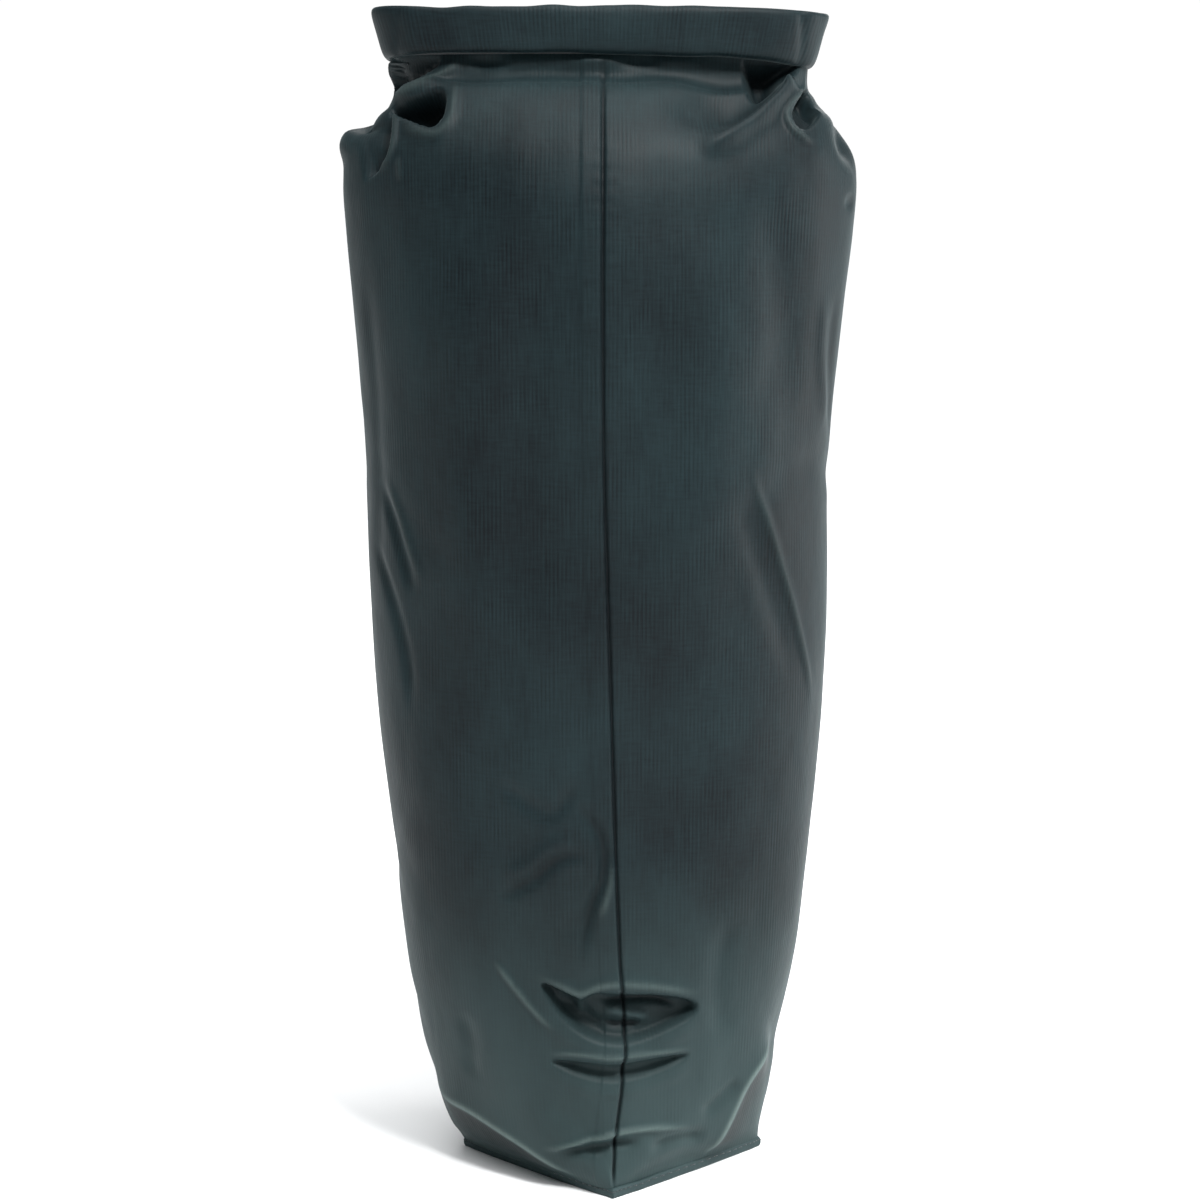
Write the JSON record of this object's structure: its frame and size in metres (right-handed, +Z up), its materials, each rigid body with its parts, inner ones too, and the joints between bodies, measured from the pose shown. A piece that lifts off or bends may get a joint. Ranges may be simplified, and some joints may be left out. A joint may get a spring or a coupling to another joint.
{
  "type": "roll-top dry bag",
  "caption": "Tapered roll-top dry bag in coated nylon, standing full, rolled shut and closed into a loop by a side-release buckle.",
  "frame": {"origin": "centre of the bag's footprint, on the surface it stands on", "axes": "+Z up along the bag, -Y out of the side with the long seam, +Y out of the side with the buckle"},
  "size_m": [0.2192, 0.158, 0.499],
  "materials": {
    "shell": "coated woven nylon, soft sheen",
    "seam": "folded seam allowance",
    "tape": "smooth welded tape",
    "stiffener": "matte strip",
    "webbing": "woven webbing",
    "thread": "bonded thread",
    "buckle": "fine moulded texture"
  },
  "bodies": {
    "bag": {"body_panel": "shell", "base_panel": "shell", "base_seam_welt": "seam", "base_seam_tape": "tape", "side_seam_tape": "tape"},
    "roll": {"collar_neck": "shell", "rolled_collar": "shell", "mouth_stiffener_inner": "stiffener", "mouth_stiffener_outer": "stiffener", "socket_webbing": "webbing", "socket_bar_tack": "thread", "plug_webbing": "webbing", "buckle_socket": "buckle"},
    "plug": {"buckle_plug": "buckle", "plug_bar_tack": "thread"},
    "prong_upper": {"plug_prong_upper": "buckle"},
    "prong_lower": {"plug_prong_lower": "buckle"}
  },
  "joints": [
    {"name": "roll_lift", "type": "slide", "parent": "bag", "child": "roll", "axis": [0, 0, 1], "range_m": [0, 0.046]},
    {"name": "buckle_pull", "type": "slide", "parent": "roll", "child": "plug", "axis": [1, 0, 0], "range_m": [0, 0.02], "deforming": ["plug_webbing", "plug_prong_upper", "plug_prong_lower"]},
    {"name": "upper_prong_press", "type": "hinge", "parent": "plug", "child": "prong_upper", "pos_m": [-0.0078, 0.0293, 0.4953], "axis": [0, -1, 0], "range_deg": [0, 10], "stiffness_Nm_per_rad": 0.3},
    {"name": "lower_prong_press", "type": "hinge", "parent": "plug", "child": "prong_lower", "pos_m": [-0.0078, 0.0293, 0.4815], "axis": [0, 1, 0], "range_deg": [0, 10], "stiffness_Nm_per_rad": 0.3}
  ],
  "couplings": [
    {"joint": "lower_prong_press", "follows": "upper_prong_press", "ratio": 1}
  ]
}
